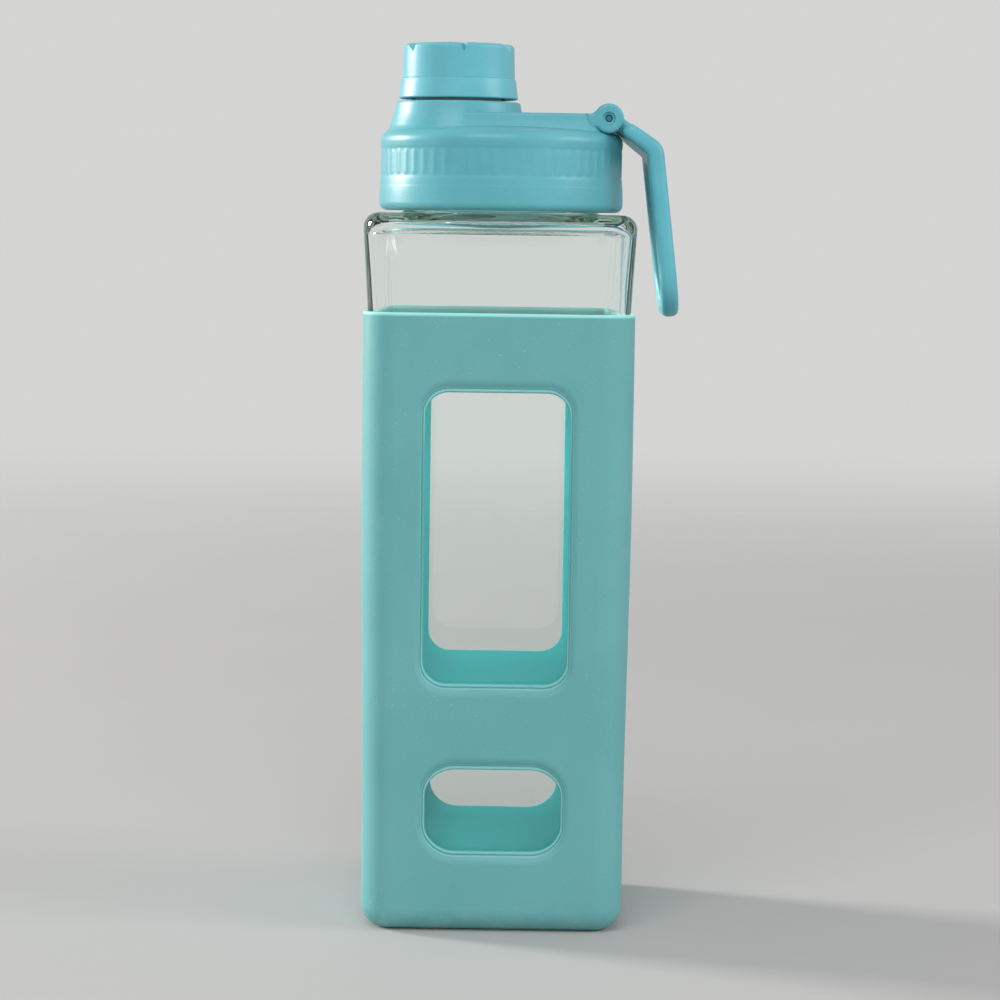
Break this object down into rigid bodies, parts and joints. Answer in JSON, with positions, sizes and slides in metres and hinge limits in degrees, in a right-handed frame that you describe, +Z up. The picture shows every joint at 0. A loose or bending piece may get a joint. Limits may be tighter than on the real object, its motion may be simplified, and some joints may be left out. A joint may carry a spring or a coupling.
{
  "type": "glass water bottle",
  "caption": "Square glass water bottle in a windowed silicone sleeve, with a lift-off lid, an off-centre spout under a screw cap, and a carry loop that swings on the lid.",
  "frame": {"origin": "middle of the sleeve's flat underside, where the bottle stands", "axes": "+Z up along the bottle, +X towards the carry loop, -Y towards the front windows as pictured"},
  "size_m": [0.0864, 0.0742, 0.243],
  "materials": {
    "clear_glass": "clear, polished",
    "aqua_silicone": "soft matte silicone",
    "aqua_lid_plastic": "satin moulded plastic",
    "pale_insert_plastic": "satin moulded plastic",
    "clear_lid_silicone": "cloudy silicone",
    "aqua_cap_plastic": "satin moulded plastic",
    "clear_cap_silicone": "cloudy silicone",
    "aqua_handle_plastic": "satin moulded plastic",
    "pin_steel": "drawn wire"
  },
  "bodies": {
    "bottle": {"glass_bottle": "clear_glass", "silicone_sleeve": "aqua_silicone"},
    "lid": {"lid_shell": "aqua_lid_plastic", "lid_insert": "pale_insert_plastic", "lid_gasket": "clear_lid_silicone", "hinge_pin": "pin_steel"},
    "handle": {"carry_handle": "aqua_handle_plastic"},
    "cap_seal": {"cap_gasket": "clear_cap_silicone"},
    "cap": {"spout_cap": "aqua_cap_plastic"}
  },
  "joints": [
    {"name": "lid_lift", "type": "slide", "parent": "bottle", "child": "lid", "axis": [0, 0, 1], "range_m": [0, 0.03]},
    {"name": "handle_swing", "type": "hinge", "parent": "lid", "child": "handle", "pos_m": [0.0293, 0, 0.2227], "axis": [0, -1, 0], "range_deg": [0, 160]},
    {"name": "cap_lift", "type": "slide", "parent": "lid", "child": "cap_seal", "axis": [0, 0, 1], "range_m": [0, 0.0161]},
    {"name": "cap_turn", "type": "hinge", "parent": "cap_seal", "child": "cap", "pos_m": [-0.0122, 0, 0.235], "axis": [0, 0, 1], "range_deg": [0, 1440]}
  ],
  "couplings": [
    {"joint": "cap_lift", "follows": "cap_turn", "m_per_rad": 0.00063662}
  ]
}
